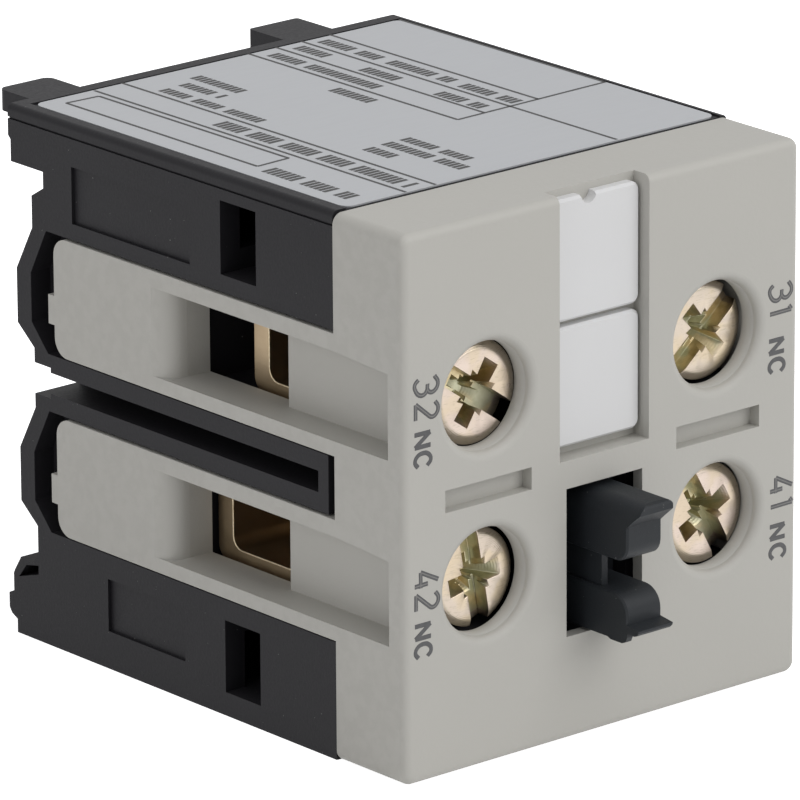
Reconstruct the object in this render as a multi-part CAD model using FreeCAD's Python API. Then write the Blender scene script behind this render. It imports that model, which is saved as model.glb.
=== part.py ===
"""Auxiliary contact block with two normally closed poles and four cage terminals.

Row frame: the block stands on its lower side, +Z up, with the operating face towards -Y.
The origin is the middle of the lower side. All sizes are in millimetres. In this file f is
the distance behind the front face, so y = front + f.
"""

import FreeCAD, Part
import math
import os

V = FreeCAD.Vector

# Depth chain: from the front face through screw, cage, contact bar and bridge to the rear wall
cover_wall = 1.3
head_front = 1.25
head_height = 1.95
head_room = 0.9
cage_travel = 5.2
cage_nut = 1.6
cage_bar_gap = 0.1
bar_thickness = 0.8
wire_room = 5.6
cage_back_wall = 1.2
cage_back_gap = 0.3
cross_wall = 1.0
tip_height = 0.5
contact_gap = 0.02
bridge_thickness = 0.6
contact_spring_room = 2.4
ladder_back_bar = 0.8
slider_travel = 2.8
end_stop_gap = 0.08
rear_wall = 1.65
flange_step = 1.9

# Width chain: from the middle through the slider's shaft and the terminals to the sides
shaft_half_width = 2.75
partition = 1.4
terminal_room = 6.6
tongue_wall = 2.75
screw_from_partition = 3.7

# Height chain: the room below, between and above the two poles
lower_room = 9.75
pole_spacing = 9.9
upper_room = 9.55

# Front cover: a shallow cap with four tongues that run back along the sides
cover_depth = 5.4
cover_corner = 0.6
cover_edge = 0.45
tongue_height = 6.5
tongue_corner = 1.0
tongue_end_gap = 1.9
nub_length = 0.5
nub_height = 1.6

# Screwdriver holes, wire funnels and the small pockets between the holes
driver_hole = 2.85
driver_hole_rim = 0.1
funnel_start = 1.2
funnel_depth = 1.94
funnel_below = 2.45
funnel_above = 2.35
funnel_taper = 0.25
funnel_flare = 0.3
funnel_lip = 0.25
funnel_corner = 0.5
entry_lead = 0.3
entry_end_gap = 0.25
pocket_width = 5.8
pocket_height = 1.2
pocket_depth = 0.7

# Recess for the marker tabs, open towards the top
marker_width = 6.1
marker_above_middle = 0.4
marker_depth = 1.2
marker_backing = 1.0
tab_gap = 0.1
tab_thickness = 0.6
tab_spacing = 0.3
tab_sill_gap = 0.5
tab_top_gap = 0.4
upper_tab_height = 6.5
tab_corner = 0.5
tab_edge = 0.15
tab_notch = 0.5
tab_notch_x = -0.55

# Opening that the slider comes out of, from the lower pole downwards and upwards
slider_port_width = 5.2
slider_port_below = 4.15
slider_port_above = 3.85
slider_port_lip = 0.7
slider_port_relief = 0.8

# Rear base
base_inset = 0.1
base_wall = 1.3
base_edge = 0.35
seat_gap = 0.12
core_gap = 0.15
label_rim = 0.1
middle_bar_gap = 0.6
side_slot_height = 1.15
side_slot_start = 6.8
side_slot_depth = 3.0
groove_height = 1.7
groove_wall = 0.3
flange_notch = 0.2
flange_thickness = 3.0
flange_underside = 2.9
seam_below_top = 0.7
seam_size = 0.12
bulge_rise = 1.38
bulge_wall = 1.2
bulge_flat_low = 2.2
bulge_flat_high = 0.8
bulge_height = 6.6
window_start = 11.6
window_length = 2.85
window_height = 3.95
panel_recess = 0.2
upper_panel_lead = 2.5
upper_panel_from_back = 3.4
upper_panel_above_pole = 4.25
upper_panel_from_top = 2.2
lower_panel_lead = 3.3
lower_panel_from_back = 5.9
lower_panel_below_pole = 4.75
lower_panel_low = 2.1
lug_width = 3.4
lug_thickness = 1.15
left_lug_length = 2.65
left_lug_from_side = 3.25
left_lug_corner = 0.5
right_lug_length = 2.95
right_lug_from_side = 6.4
right_lug_corner = 0.2
hook_width = 3.2
hook_low = 0.8
hook_height = 3.55
hook_reach = 2.15
barb_reach = 0.42
hook_slot_depth = 1.2

# Inner chambers of the base
guide_gap = 0.1
shaft_mouth_below = 4.85
shaft_mouth_end = 6.2
chamber_half_height = 3.0
contact_chamber_half_height = 2.4
contact_chamber_gap = 1.5
hollow_from_pole = 5.4
hollow_end_wall = 2.3

# Terminal screw and its cage
head_radius = 2.75
head_face_radius = 2.3
head_dome = 0.45
shank_radius = 1.75
shank_tip_chamfer = 0.3
thread_clearance = 0.05
slot_width = 1.15
slot_depth = 1.0
cross_reach = 1.85
cross_width = 0.9
cross_core = 0.8
cross_spike = 1.35
cross_depth = 1.6
cross_taper = 0.45
cage_width = 5.0
cage_inner_height = 4.0
cage_wall = 0.8
cage_corner = 0.8
cage_inner_corner = 0.7
drawn_by = {"31": 0.0, "32": 3.1, "41": 0.0, "42": 0.0}
slot_angle = {"31": 40.0, "32": -35.0, "41": -61.0, "42": -80.0}

# Fixed contacts, bridges and springs
bar_half_height = 1.8
bar_end_from_cage = 0.25
tip_from_partition = 2.45
fixed_tip_radius = 1.1
bridge_tip_radius = 1.0
foot_past_tip = 0.5
bridge_past_tip = 0.3
bridge_half_height = 1.5
bridge_corner = 0.8
bridge_play = 0.1
spring_wire = 0.3
spring_sides = 6
spring_steps = 10
contact_spring_radius = 1.1
contact_spring_turns = 3.5
return_spring_radius = 1.15
return_spring_turns = 6

# Slider: two prongs in front, a ladder frame inside, a claw behind
prong_half_width = 1.19
prong_reach = 3.08
prong_nose = 0.85
upper_prong_below = 0.25
upper_prong_above = 3.5
lower_prong_below = 3.5
lower_prong_above = -1.5
upper_lip_root = 1.25
upper_lip_tip = 0.5
upper_inner_round = 0.9
upper_left_round = 0.9
lower_lip_root = 0.45
lower_lip_tip = 0.33
lower_inner_round = 1.1
prong_right_round = 0.35
prong_edge = 0.1
side_plate = 0.4
web_inset = 0.25
web_reach = 0.85
tooth_plate_below = 4.0
tooth_drop = 0.1
hollow_depth = 1.6
ladder_rail = 1.4
spring_seat_depth = 4.4
spring_pip_radius = 0.75
spring_pip_length = 0.6
claw_arm = 1.2
claw_half_height = 2.9
claw_length = 5.4
claw_barb = 0.5
claw_gap = 0.3

# Rating label, by its distances from the sides, the cover and the rear edge
label_thickness = 0.08
label_corner = 0.6
label_from_left = 1.1
label_from_right = 0.7
label_from_cover = 0.25
label_from_back = 0.95

# What follows from the chains: f positions, x positions and heights
bar_front = head_front + head_height + head_room + cage_travel + cage_nut + cage_bar_gap
bar_back = bar_front + bar_thickness
cage_open_back = bar_back + wire_room
chamber_end = cage_open_back + cage_back_wall + cage_back_gap
contact_wall = chamber_end + cross_wall
foot_back = contact_wall + bar_thickness
bridge_front = foot_back + 2 * tip_height + contact_gap
bridge_back = bridge_front + bridge_thickness
window_back = bridge_back + contact_spring_room
ladder_end = window_back + ladder_back_bar
rear_wall_inside = ladder_end + slider_travel + end_stop_gap
rear_wall_face = rear_wall_inside + rear_wall
depth = rear_wall_face + flange_step
front = -depth / 2
tongue_end = rear_wall_face - tongue_end_gap
bulge_face = rear_wall_face + bulge_rise
entry_start = bar_front + entry_lead
entry_end = chamber_end - entry_end_gap
label_end = depth - label_from_back

partition_x = shaft_half_width + partition
tongue_inner_x = partition_x + terminal_room
half_width = tongue_inner_x + tongue_wall
terminal_x = partition_x + screw_from_partition
core_half_width = tongue_inner_x - core_gap
base_half_width = half_width - base_inset
label_left = label_from_left - half_width
label_right = half_width - label_from_right
contact_x = partition_x + tip_from_partition
bridge_half_length = contact_x + bridge_tip_radius + bridge_past_tip
contact_chamber_half_width = bridge_half_length + contact_chamber_gap
hollow_half_width = base_half_width - base_wall

lower_pole = lower_room
upper_pole = lower_pole + pole_spacing
poles = (lower_pole, upper_pole)
middle_z = (lower_pole + upper_pole) / 2
height = upper_pole + upper_room
rim_top = height + label_rim
marker_floor_z = middle_z + marker_above_middle
tab_split_z = height - tab_top_gap - upper_tab_height

window_half = bridge_half_height + bridge_play
ladder_front = marker_depth + marker_backing + guide_gap
ladder_half_width = shaft_half_width - guide_gap
ladder_low = lower_pole - window_half - ladder_rail
ladder_high = upper_pole + window_half + ladder_rail
upper_prong_low = lower_pole + upper_prong_below
upper_prong_high = lower_pole + upper_prong_above
lower_prong_low = lower_pole - lower_prong_below
lower_prong_high = lower_pole + lower_prong_above


def block(x0, x1, f0, f1, z0, z1):
    """A box between two x, two f and two z positions."""
    return Part.makeBox(x1 - x0, f1 - f0, z1 - z0, V(x0, front + f0, z0))


def bar_across(half, f0, f1, z0, z1):
    """A box that reaches equally far to both sides of the middle plane."""
    return block(-half, half, f0, f1, z0, z1)


def rod(x, z, radius, f0, f1):
    """A round bar along Y."""
    return Part.makeCylinder(radius, f1 - f0, V(x, front + f0, z), V(0, 1, 0))


def closed_face(points):
    """A flat face inside straight lines from point to point."""
    return Part.Face(Part.makePolygon(points + points[:1]))


def side_profile(points, x0, x1):
    """A prism along X over an outline of (f, z) points."""
    return closed_face([V(x0, front + f, z) for f, z in points]).extrude(V(x1 - x0, 0, 0))


def plan_profile(points, z0, z1):
    """A prism along Z over an outline of (x, f) points."""
    return closed_face([V(x, front + f, z0) for x, f in points]).extrude(V(0, 0, z1 - z0))


def both_sides(shape):
    """The shape and its mirror image across the middle plane."""
    return shape.fuse(shape.mirror(V(0, 0, 0), V(1, 0, 0)))


def without(shape, cuts):
    """The shape after all the cuts."""
    for cut in cuts:
        shape = shape.cut(cut)
    return shape


def rounded(shape, radius, chosen):
    """The shape with the edges for which chosen(edge) is true rounded off."""
    return shape.makeFillet(radius, [edge for edge in shape.Edges if chosen(edge)])


def bevelled(shape, size, chosen):
    """The shape with the edges for which chosen(edge) is true bevelled."""
    return shape.makeChamfer(size, [edge for edge in shape.Edges if chosen(edge)])


def along(edge, axis):
    """True for a straight edge parallel to the axis."""
    if not isinstance(edge.Curve, Part.Line):
        return False
    return abs(abs(edge.Curve.Direction.dot(axis)) - 1) < 1e-6


def along_x(edge):
    return along(edge, V(1, 0, 0))


def along_y(edge):
    return along(edge, V(0, 1, 0))


def along_z(edge):
    return along(edge, V(0, 0, 1))


def at_f(edge, f):
    """True for an edge that lies in the plane at f behind the front face."""
    return all(abs(vertex.Y - front - f) < 1e-6 for vertex in edge.Vertexes)


def at_height(edge, z):
    """True for an edge that lies in the plane at z."""
    return all(abs(vertex.Z - z) < 1e-6 for vertex in edge.Vertexes)


def tongue(pole):
    """One side tongue of the cover with its catch nub, on the +X side."""
    low = pole - tongue_height / 2
    plate = block(tongue_inner_x, half_width, cover_wall, tongue_end, low, low + tongue_height)
    plate = rounded(plate, tongue_corner, lambda e: along_x(e) and at_f(e, tongue_end))
    nub_low = pole - nub_height
    nub = block(tongue_inner_x, half_width, tongue_end - nub_length, tongue_end + nub_length,
                nub_low, nub_low + nub_height)
    return plate.fuse(nub)


def funnel(pole):
    """Tray in a tongue with the wire opening in its floor and a flared rear wall, on the +X side."""
    low, high = pole - funnel_below, pole + funnel_above
    floor_x = half_width - funnel_depth
    outside = half_width + 1
    outline = [
        (funnel_start, low),
        (funnel_start, high - funnel_taper),
        (cover_depth, high),
        (entry_end, high),
        (entry_end, low),
    ]
    tray = side_profile(outline, floor_x, outside)
    opening = block(tongue_inner_x - 1, outside, entry_start, entry_end, low, high)
    flare = [
        (tongue_inner_x, entry_end),
        (half_width - funnel_lip, entry_end + funnel_flare / 2),
        (half_width, entry_end + funnel_flare),
        (outside, entry_end + funnel_flare),
        (outside, entry_end - 1),
        (tongue_inner_x, entry_end - 1),
    ]
    corner = lambda e: along_x(e) and at_f(e, entry_end) and at_height(e, low)
    tray = rounded(tray.fuse(opening).removeSplitter(), funnel_corner, corner)
    return tray.fuse(plan_profile(flare, low, high))


def front_cover():
    """Light grey cap: front wall, rims, tongues, holes for the screwdriver and the slider."""
    body = bar_across(half_width, 0, cover_depth, 0, height)
    body = rounded(body, cover_corner, along_y)
    body = rounded(body, cover_edge, lambda e: at_f(e, 0))
    inner_top = height - cover_wall
    body = body.cut(bar_across(tongue_inner_x, cover_wall, cover_depth + 1, cover_wall, inner_top))
    marker_half = marker_width / 2
    boss_half = marker_half + marker_backing
    boss_low = marker_floor_z - marker_backing / 2
    body = body.fuse(bar_across(boss_half, cover_wall, marker_depth + marker_backing, boss_low, inner_top))
    for pole in poles:
        body = body.fuse(both_sides(tongue(pole)))
    port_half = slider_port_width / 2
    port_low = lower_pole - slider_port_below
    port_high = lower_pole + slider_port_above
    relief = slider_port_relief
    pocket_left = terminal_x - pocket_width / 2
    pocket_low = middle_z - pocket_height / 2
    pocket = block(pocket_left, pocket_left + pocket_width, -1, pocket_depth,
                   pocket_low, pocket_low + pocket_height)
    cuts = [
        bar_across(marker_half, -1, marker_depth, marker_floor_z, height + 1),
        bar_across(port_half, -1, cover_wall + 1, port_low, port_high),
        bar_across(port_half + relief, slider_port_lip, cover_wall, port_low - relief, port_high + relief),
        both_sides(pocket),
    ]
    for pole in poles:
        cuts.append(both_sides(rod(terminal_x, pole, driver_hole, -1, cover_wall + 1)))
        cuts.append(both_sides(funnel(pole)))
    return bevelled(without(body, cuts), driver_hole_rim, driver_hole_edge).removeSplitter()


def driver_hole_edge(edge):
    """True for the front edge of a screwdriver hole."""
    if not isinstance(edge.Curve, Part.Circle) or not at_f(edge, 0):
        return False
    return abs(edge.Curve.Radius - driver_hole) < 1e-6


def bulge_outline(pole):
    """The bowed rear wall behind a pole, from below to above, as (f, z) points."""
    half = bulge_height / 2
    return [
        (rear_wall_face, pole - half),
        (bulge_face, pole - bulge_flat_low),
        (bulge_face, pole + bulge_flat_high),
        (rear_wall_face, pole + half),
    ]


def base_outline():
    """Side view of the base from its front edge round the back, as (f, z) points."""
    start = cover_depth + seat_gap
    flange_low = height - flange_thickness
    lower_end = [(start, 0), (depth, 0), (depth, hook_low), (rear_wall_face, hook_low)]
    upper_end = [
        (rear_wall_face, flange_low - 1.5),
        (depth - flange_underside, flange_low - 0.9),
        (depth - flange_underside, flange_low),
        (depth - flange_notch, flange_low),
        (depth - flange_notch, flange_low + 1.2),
        (depth, flange_low + 1.4),
        (depth, height),
        (start, height),
    ]
    return lower_end + bulge_outline(lower_pole) + bulge_outline(upper_pole) + upper_end


def snap_hook():
    """Lower catch at the back of a side panel, on the +X side, with a pocket under its crest."""
    root = rear_wall_face - 1
    reach = rear_wall_face + hook_reach
    barb = reach + barb_reach
    low = hook_low - 0.1
    top = hook_low + hook_height
    outline = [
        (root, low),
        (reach - 0.35, low),
        (barb - 0.2, low + 0.28),
        (barb, low + 0.57),
        (barb, low + 1.4),
        (reach, low + 1.6),
        (reach, top - 1.05),
        (reach - 0.1, top - 0.85),
        (reach - 0.65, top),
        (rear_wall_face + 0.53, top - 0.15),
        (rear_wall_face, top + 0.35),
        (root, top + 0.35),
    ]
    hook = side_profile(outline, base_half_width - hook_width, base_half_width)
    pocket = [
        (rear_wall_face - 0.1, top - 0.1),
        (rear_wall_face + 1.05, top - 0.35),
        (reach - 0.45, top - 1.15),
        (rear_wall_face - 0.1, top - 0.6),
    ]
    return hook.cut(side_profile(pocket, base_half_width - hook_slot_depth, half_width))


def tongue_bay(pole):
    """Side recess for a tongue and the dark gap behind its end, on the +X side."""
    low = pole - tongue_height / 2 - seat_gap
    high = pole + tongue_height / 2 + seat_gap
    end = tongue_end + nub_length + seat_gap
    outside = half_width + 1
    floor = bulge_face - bulge_wall
    bay = block(core_half_width, outside, cover_depth - 1, end, low, high)
    bow = [
        (end - 0.6, high),
        (end + 0.1, high),
        (floor, pole + bulge_flat_high),
        (floor, pole - bulge_flat_low + 0.3),
        (end + 0.1, low),
        (end - 0.6, low),
    ]
    return bay.fuse(side_profile(bow, base_half_width - base_wall, outside))


def terminal_chamber(pole):
    """Room for a cage, its screw head and the contact bar's front leg, on the +X side."""
    room = block(partition_x, tongue_inner_x, cover_wall - core_gap, chamber_end,
                 pole - chamber_half_height, pole + chamber_half_height)
    half = bar_half_height + seat_gap
    riser_slot = block(partition_x, partition_x + bar_thickness + seat_gap, chamber_end - 1,
                       contact_wall + 1, pole - half, pole + half)
    return room.fuse(riser_slot)


def base_chambers():
    """All that is hollow inside the base."""
    port_half = claw_half_height + claw_gap
    hollow_end = rear_wall_face - hollow_end_wall
    cuts = [
        bar_across(shaft_half_width, 1, rear_wall_inside, ladder_low - guide_gap, ladder_high + guide_gap),
        bar_across(shaft_half_width, 1, shaft_mouth_end, lower_pole - shaft_mouth_below, ladder_high),
        bar_across(shaft_half_width, rear_wall_inside - 1, depth + 1,
                   lower_pole - port_half, lower_pole + port_half),
        bar_across(hollow_half_width, cover_depth, hollow_end,
                   upper_pole + hollow_from_pole, height - base_wall),
        bar_across(hollow_half_width, cover_depth, hollow_end, base_wall, lower_pole - hollow_from_pole),
        both_sides(middle_slot(side_slot_start, side_slot_height)),
        both_sides(middle_slot(rear_wall_inside + groove_wall, groove_height)),
        both_sides(block(core_half_width, half_width, cover_depth, cover_depth + middle_bar_gap, *poles)),
    ]
    for pole in poles:
        low, high = pole - contact_chamber_half_height, pole + contact_chamber_half_height
        bow_low, bow_high = pole - bulge_flat_low, pole + bulge_flat_high
        cuts.append(both_sides(tongue_bay(pole)))
        cuts.append(both_sides(terminal_chamber(pole)))
        cuts.append(bar_across(contact_chamber_half_width, contact_wall, rear_wall_inside, low, high))
        cuts.append(bar_across(contact_chamber_half_width, rear_wall_inside - 1, bulge_face - bulge_wall,
                               bow_low, bow_high))
    return cuts


def middle_slot(start, tall):
    """Slot in the side wall between the two tongues, open to the rear, on the +X side."""
    floor_x = base_half_width - side_slot_depth
    return block(floor_x, half_width, start, depth, middle_z - tall / 2, middle_z + tall / 2)


def base_side_marks():
    """Catch windows, shallow sunk panels and the mould seam in the side walls, on the +X side."""
    wall_x = base_half_width - base_wall - 1
    outside = half_width + 1
    sunk = base_half_width - panel_recess
    window_end = window_start + window_length
    seam_z = height - seam_below_top
    top_low = height - base_wall - window_height
    return [
        block(wall_x, outside, window_start, window_end, top_low, top_low + window_height),
        block(wall_x, outside, window_start, window_end, base_wall, base_wall + window_height),
        block(sunk, outside, window_end + upper_panel_lead, rear_wall_face - upper_panel_from_back,
              upper_pole + upper_panel_above_pole, height - upper_panel_from_top),
        block(sunk, outside, window_end + lower_panel_lead, rear_wall_face - lower_panel_from_back,
              lower_panel_low, lower_pole - lower_panel_below_pole),
        block(base_half_width - seam_size, outside, cover_depth, depth + 1, seam_z, seam_z + seam_size),
    ]


def rear_lug(x, length, corner):
    """Flat tab behind the top edge of the base."""
    end = depth + length
    lug = block(x - lug_width / 2, x + lug_width / 2, depth - 1, end, rim_top - lug_thickness, rim_top)
    return rounded(lug, corner, lambda e: along_z(e) and at_f(e, end))


def rear_base():
    """Black housing: side panels, rear wall, chambers, hooks and the core that enters the cover."""
    body = side_profile(base_outline(), -base_half_width, base_half_width)
    rim_start = cover_depth + seat_gap
    body = body.fuse(bar_across(base_half_width, rim_start, depth, height - 1, rim_top))
    body = rounded(body.removeSplitter(), base_edge, lambda e: along_y(e) and at_height(e, rim_top))
    body = body.fuse(both_sides(snap_hook()))
    core_top = height - cover_wall - core_gap
    core_low = cover_wall + core_gap
    body = body.fuse(bar_across(core_half_width, core_low, cover_depth + 1, core_low, core_top))
    body = body.fuse(rear_lug(left_lug_from_side - half_width, left_lug_length, left_lug_corner))
    body = body.fuse(rear_lug(half_width - right_lug_from_side, right_lug_length, right_lug_corner))
    label_bed = block(label_left - seat_gap, label_right + seat_gap, cover_depth - 1, label_end + seat_gap,
                      height, height + 1)
    marker_x = marker_width / 2 + marker_backing + core_gap
    boss_back = marker_depth + marker_backing + core_gap
    boss_low = marker_floor_z - marker_backing / 2 - core_gap
    cuts = base_chambers() + [both_sides(mark) for mark in base_side_marks()]
    cuts.append(label_bed)
    cuts.append(bar_across(marker_x, 1, boss_back, boss_low, height))
    return without(body, cuts).removeSplitter()


def screw_recess(angle):
    """Straight slot across the head and a tapered cross in its middle, turned about the Y axis."""
    face = front + head_front
    reach = head_radius + 1
    slot = Part.makeBox(2 * reach, slot_depth + 1, slot_width, V(-reach, face - 1, -slot_width / 2))
    corners = cross_corners()
    top = [V(x, face - 0.01, z) for x, z in corners]
    low = [V(x * cross_taper, face + cross_depth, z * cross_taper) for x, z in corners]
    cross = Part.makeLoft([Part.makePolygon(ring + ring[:1]) for ring in (top, low)], True, True)
    recess = slot.fuse(cross)
    recess.rotate(V(0, 0, 0), V(0, 1, 0), -angle)
    return recess


def cross_corners():
    """The corners of a cross with a narrow spike between its arms, as (x, z) points."""
    near, far = math.radians(30), math.radians(60)
    middle = math.radians(45)
    arm = [
        (cross_reach, -cross_width / 2),
        (cross_reach, cross_width / 2),
        (cross_core * math.cos(near), cross_core * math.sin(near)),
        (cross_spike * math.cos(middle), cross_spike * math.sin(middle)),
        (cross_core * math.cos(far), cross_core * math.sin(far)),
    ]
    return [turned(x, z, quarter) for quarter in range(4) for x, z in arm]


def turned(x, z, quarters):
    """The point after a number of quarter turns."""
    for _ in range(quarters):
        x, z = -z, x
    return x, z


def terminal_screw(name, x, pole):
    """Plated steel screw with a domed head; its tip bears on the contact bar."""
    face = front + head_front
    under = face + head_height
    tip = front + bar_front - contact_gap
    outline = [
        V(0, face, 0),
        V(head_face_radius, face, 0),
        V(head_radius, face + head_dome, 0),
        V(head_radius, under, 0),
        V(shank_radius, under, 0),
        V(shank_radius, tip - shank_tip_chamfer, 0),
        V(shank_radius - shank_tip_chamfer, tip, 0),
        V(0, tip, 0),
    ]
    body = closed_face(outline).revolve(V(0, 0, 0), V(0, 1, 0), 360)
    body = body.cut(screw_recess(slot_angle[name]))
    body.translate(V(x, 0, pole))
    return body


def terminal_cage(name, x, pole):
    """Brass cage that the screw draws forward; the wire lies between its back wall and the bar."""
    inner_back = cage_open_back - drawn_by[name]
    nut_back = bar_front - cage_bar_gap - drawn_by[name]
    nut_front = nut_back - cage_nut
    half_height = cage_inner_height / 2
    outer_half = half_height + cage_wall
    half = cage_width / 2
    back = inner_back + cage_back_wall
    outer = block(x - half, x + half, nut_front, back, pole - outer_half, pole + outer_half)
    outer = rounded(outer, cage_corner, along_x)
    inner = block(x - half - 1, x + half + 1, nut_back, inner_back, pole - half_height, pole + half_height)
    inner = rounded(inner, cage_inner_corner, lambda e: along_x(e) and at_f(e, inner_back))
    hole = rod(x, pole, shank_radius + thread_clearance, nut_front - 1, nut_back + 1)
    return outer.cut(inner).cut(hole)


def contact_bar(side, pole):
    """Fixed contact bent from brass strip: terminal leg, riser and foot for the silver tip."""
    leg_end = terminal_x + cage_width / 2 - bar_end_from_cage
    foot_end = contact_x + fixed_tip_radius + foot_past_tip
    riser = partition_x + bar_thickness
    outline = [
        (partition_x, bar_front),
        (leg_end, bar_front),
        (leg_end, bar_back),
        (riser, bar_back),
        (riser, contact_wall),
        (foot_end, contact_wall),
        (foot_end, foot_back),
        (partition_x, foot_back),
    ]
    return plan_profile([(side * x, f) for x, f in outline], pole - bar_half_height, pole + bar_half_height)


def fixed_tip(side, pole):
    """Silver tip on the back of a fixed contact's foot."""
    return rod(side * contact_x, pole, fixed_tip_radius, foot_back, foot_back + tip_height)


def bridge(pole):
    """Springy strip that joins the two fixed contacts of a pole."""
    strip = bar_across(bridge_half_length, bridge_front, bridge_back, pole - bridge_half_height,
                       pole + bridge_half_height)
    return bevelled(strip, bridge_corner, along_y)


def bridge_tips(pole):
    """The two silver tips of a bridge."""
    tip_front = bridge_front - tip_height
    return Part.makeCompound([rod(x, pole, bridge_tip_radius, tip_front, bridge_front)
                              for x in (-contact_x, contact_x)])


def coil_spring(x, z, radius, turns, f0, f1):
    """A coil of wire along Y between its two seats, lofted through rings of the wire's outline."""
    wire_half = spring_wire / 2
    steps = round(turns * spring_steps)
    rings = []
    for step in range(steps + 1):
        angle = 2 * math.pi * step / spring_steps
        outward = V(math.cos(angle), 0, math.sin(angle))
        f = f0 + wire_half + (f1 - f0 - spring_wire) * step / steps
        centre = V(x, front + f, z) + outward * radius
        corners = [2 * math.pi * side / spring_sides for side in range(spring_sides)]
        ring = [centre + (outward * math.sin(a) + V(0, math.cos(a), 0)) * wire_half for a in corners]
        rings.append(Part.makePolygon(ring + ring[:1]))
    return Part.makeLoft(rings, True, True)


def prong(outer, inner, lip_tip, lip_root, inner_round):
    """One prong of the slider: blunt nose at its outer side, rounded corner at its inner side."""
    into = math.copysign(1, inner - outer)
    nose = prong_reach + prong_nose
    outline = [
        (ladder_front, outer),
        (0.3 - nose, outer),
        (0.08 - nose, outer + into * 0.08),
        (-nose, outer + into * 0.2),
        (-nose, outer + into * lip_tip),
        (-prong_reach, outer + into * lip_root),
        (-prong_reach, inner),
        (ladder_front, inner),
    ]
    body = side_profile(outline, -prong_half_width, prong_half_width)
    body = rounded(body, inner_round, lambda e: along_x(e) and at_f(e, -prong_reach) and at_height(e, inner))
    body = bevelled(body, prong_edge, lambda e: along_z(e) and at_f(e, -prong_reach))
    return body.cut(long_edge(prong_half_width, outer, -1, into, prong_right_round))


def long_edge(x, z, into_x, into_z, radius):
    """What rounding takes off the slider's long edge at x and z; the signs point into the body."""
    centre_x = x + into_x * radius
    centre_z = z + into_z * radius
    x0, x1 = sorted((x - into_x, centre_x))
    z0, z1 = sorted((z - into_z, centre_z))
    f0 = -prong_reach - prong_nose - 1
    return block(x0, x1, f0, ladder_front, z0, z1).cut(rod(centre_x, centre_z, radius, f0 - 1, ladder_front + 1))


def tooth_plate_outline():
    """Thin rib below the left side of the lower prong, with a small tooth, as (f, z) points."""
    plate_low = lower_pole - tooth_plate_below
    tooth = plate_low - tooth_drop
    root = lower_prong_low + 0.2
    return [
        (ladder_front + 1, plate_low),
        (-1.55, plate_low),
        (-1.8, tooth),
        (0.4 - prong_reach, tooth),
        (0.12 - prong_reach, tooth + 0.12),
        (-prong_reach, tooth + 0.4),
        (-prong_reach, root),
        (ladder_front + 1, root),
    ]


def claw_outlines():
    """The two arms of the coupling claw, mirror images about the lower pole, as (f, z) points."""
    end = ladder_end + claw_length
    inner = claw_half_height - claw_arm
    arm = [
        (ladder_end - 0.5, inner),
        (ladder_end - 0.5, claw_half_height),
        (end, claw_half_height),
        (end, inner),
        (end - 0.6, inner - claw_barb),
        (end - 1.2, inner),
    ]
    return [[(f, lower_pole + side * z) for f, z in arm] for side in (1, -1)]


def slider():
    """Black moving frame: prongs in front, windows for the bridges, coupling claw behind."""
    web_half = prong_half_width - web_inset
    neck = bar_across(web_half, -web_reach, ladder_front + 1, lower_prong_low, upper_prong_high - 0.5)
    frame = bar_across(ladder_half_width, ladder_front, ladder_end, ladder_low, ladder_high)
    tooth_plate = side_profile(tooth_plate_outline(), -prong_half_width, side_plate - prong_half_width)
    upper = prong(upper_prong_high, upper_prong_low, upper_lip_tip, upper_lip_root, upper_inner_round)
    upper = upper.cut(long_edge(-prong_half_width, upper_prong_high, 1, -1, upper_left_round))
    lower = prong(lower_prong_low, lower_prong_high, lower_lip_tip, lower_lip_root, lower_inner_round)
    body = frame.fuse([neck, tooth_plate, upper, lower])
    cuts = [
        block(side_plate - web_half, web_half + 1, -prong_reach - 1, hollow_depth,
              lower_prong_high, upper_prong_low),
        rod(0, middle_z, return_spring_radius + spring_wire, ladder_end - spring_seat_depth, depth),
    ]
    for pole in poles:
        cuts.append(bar_across(ladder_half_width + 1, bridge_front - contact_gap, window_back,
                               pole - window_half, pole + window_half))
    body = without(body, cuts)
    for pole in poles:
        body = body.fuse(rod(0, pole, spring_pip_radius, window_back - spring_pip_length, window_back))
    for outline in claw_outlines():
        body = body.fuse(side_profile(outline, -ladder_half_width, ladder_half_width))
    return body.removeSplitter()


def marker_tab(low, high, notched):
    """Blank white marker tab, clipped into the recess."""
    face = marker_depth - tab_thickness
    tab = bar_across(marker_width / 2 - tab_gap, face, marker_depth, low, high)
    tab = rounded(tab, tab_corner, along_y)
    tab = bevelled(tab, tab_edge, lambda e: at_f(e, face))
    if notched:
        tab = tab.cut(rod(tab_notch_x, high, tab_notch, 0, marker_depth + 1))
    return tab


def rating_label():
    """Printed foil in its bed on the upper side of the base."""
    foil = block(label_left, label_right, cover_depth + label_from_cover, label_end,
                 height, height + label_thickness)
    return rounded(foil, label_corner, along_z)


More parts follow.
